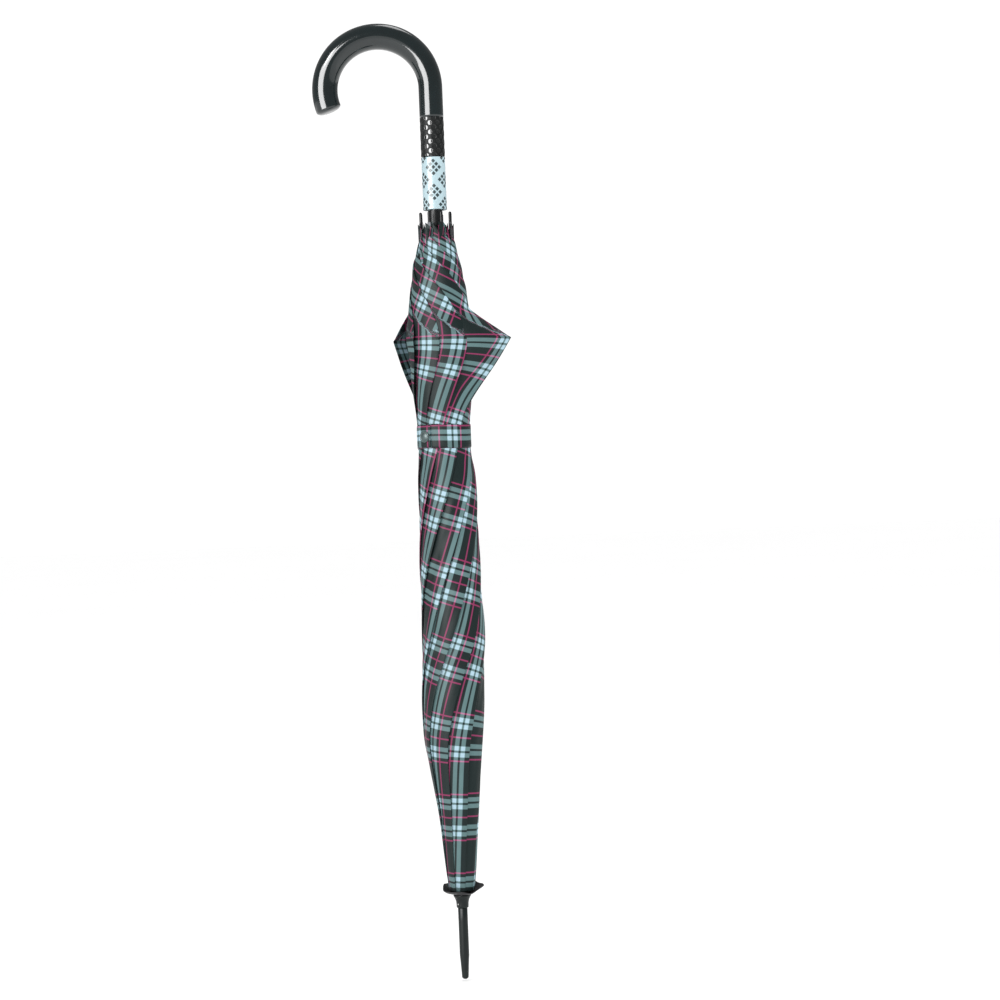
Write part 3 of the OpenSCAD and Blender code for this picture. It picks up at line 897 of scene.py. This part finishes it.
class UMBRELLA_OT_stage(bpy.types.Operator):
    """Make the floor, the lights and the camera"""

    bl_idname = "umbrella.stage"
    bl_label = "Stage"

    def execute(self, context):
        s = context.scene.umbrella_stage
        self.floor(s)
        self.lights()
        self.camera(s)
        return {"FINISHED"}

    def floor(self, s):
        half = s.half_width
        gap = 0.0015
        low = CAD_LOW[2] - gap
        corners = np.array([[-half, -half, low], [half, -half, low], [half, half, low], [-half, half, low]])
        n = Nodes("floor_pale")
        tone = n.mix(n.noise(n.coords("Object"), 0.7), rgb((0.95, 0.95, 0.95)), rgb((0.97, 0.97, 0.97)))
        n.set(Base_Color=tone, Roughness=0.9, Specular_IOR_Level=0.1)
        floor = put("floor", corners / MM, np.array([[0, 1, 2, 3]]), n.material)

    def lights(self):
        """A white room that reflects dimly, three lamps, and a wide panel that only shines on gloss."""
        world = bpy.data.worlds.new("studio")
        world.use_nodes = True
        back = world.node_tree.nodes["Background"]
        back.inputs["Color"].default_value = (1.0, 1.0, 1.0, 1.0)
        bright, glossy_cut = 1.08, 0.80
        tree = world.node_tree
        path = tree.nodes.new("ShaderNodeLightPath")
        strength = tree.nodes.new("ShaderNodeMath")
        strength.operation = "MULTIPLY_ADD"
        strength.inputs[1].default_value = -glossy_cut
        strength.inputs[2].default_value = bright
        tree.links.new(path.outputs["Is Glossy Ray"], strength.inputs[0])
        tree.links.new(strength.outputs[0], back.inputs["Strength"])
        bpy.context.scene.world = world
        bpy.context.scene.view_settings.view_transform = "Standard"
        for name, place, size, power, aim, on_matt, on_gloss in (
            ("key", (-1.3, -1.7, 1.9), 0.45, 17, (0, 0, 0.35), True, True),
            ("fill", (1.9, -1.3, 0.9), 0.6, 6, (0, 0, 0.40), True, False),
            ("top", (0.3, 0.5, 2.3), 0.7, 5, (0, 0, 0.45), True, True),
            ("panel", (-1.40, -1.80, 0.95), 1.8, 130, (0, 0, 0.45), False, True),
        ):
            data = bpy.data.lights.new(name, "AREA")
            data.shape, data.size, data.energy = "SQUARE", size, power
            lamp = bpy.data.objects.new(name, data)
            lamp.location = place
            lamp.visible_diffuse = on_matt
            lamp.visible_glossy = on_gloss
            aim_way = lamp.location - type(lamp.location)(aim)
            lamp.rotation_euler = aim_way.to_track_quat("Z", "Y").to_euler()
            bpy.context.scene.collection.objects.link(lamp)

    def camera(self, s):
        """The view's middle is a little to the right of the shaft and below half its height."""
        data = bpy.data.cameras.new("view")
        data.lens, data.sensor_width = s.lens, 36.0
        camera = bpy.data.objects.new("view", data)
        aim = (0.048, 0.0, 0.365)
        tip = Matrix.Rotation(math.radians(90), 4, "X") @ Matrix.Rotation(s.roll, 4, "Z")
        camera.matrix_world = Matrix.Translation((aim[0], -s.distance, aim[2])) @ tip
        bpy.context.scene.collection.objects.link(camera)
        bpy.context.scene.camera = camera


class UMBRELLA_PT_panel(bpy.types.Panel):
    """The umbrella's pieces"""

    bl_label = "Umbrella"
    bl_idname = "UMBRELLA_PT_panel"
    bl_space_type = "VIEW_3D"
    bl_region_type = "UI"
    bl_category = "Umbrella"

    def draw(self, context):
        for group in SETTINGS:
            settings = getattr(context.scene, group)
            for name in settings.__annotations__:
                self.layout.prop(settings, name)
        for operator in OPERATORS:
            self.layout.operator(operator.bl_idname)


SETTINGS = {
    "umbrella_cloth": ClothSettings,
    "umbrella_bundle": BundleSettings,
    "umbrella_handle": HandleSettings,
    "umbrella_stage": StageSettings,
}
OPERATORS = (
    UMBRELLA_OT_folds,
    UMBRELLA_OT_gores,
    UMBRELLA_OT_strap,
    UMBRELLA_OT_rosette,
    UMBRELLA_OT_ferrule,
    UMBRELLA_OT_handle,
    UMBRELLA_OT_finishes,
    UMBRELLA_OT_stage,
)


def register():
    for cls in (*SETTINGS.values(), *OPERATORS, UMBRELLA_PT_panel):
        bpy.utils.register_class(cls)
    for name, cls in SETTINGS.items():
        setattr(bpy.types.Scene, name, PointerProperty(type=cls))


def unregister():
    for name in SETTINGS:
        delattr(bpy.types.Scene, name)
    for cls in reversed((*SETTINGS.values(), *OPERATORS, UMBRELLA_PT_panel)):
        bpy.utils.unregister_class(cls)


def main():
    register()
    for operator in OPERATORS:
        group, name = operator.bl_idname.split(".")
        getattr(getattr(bpy.ops, group), name)()


if __name__ == "__main__":
    main()
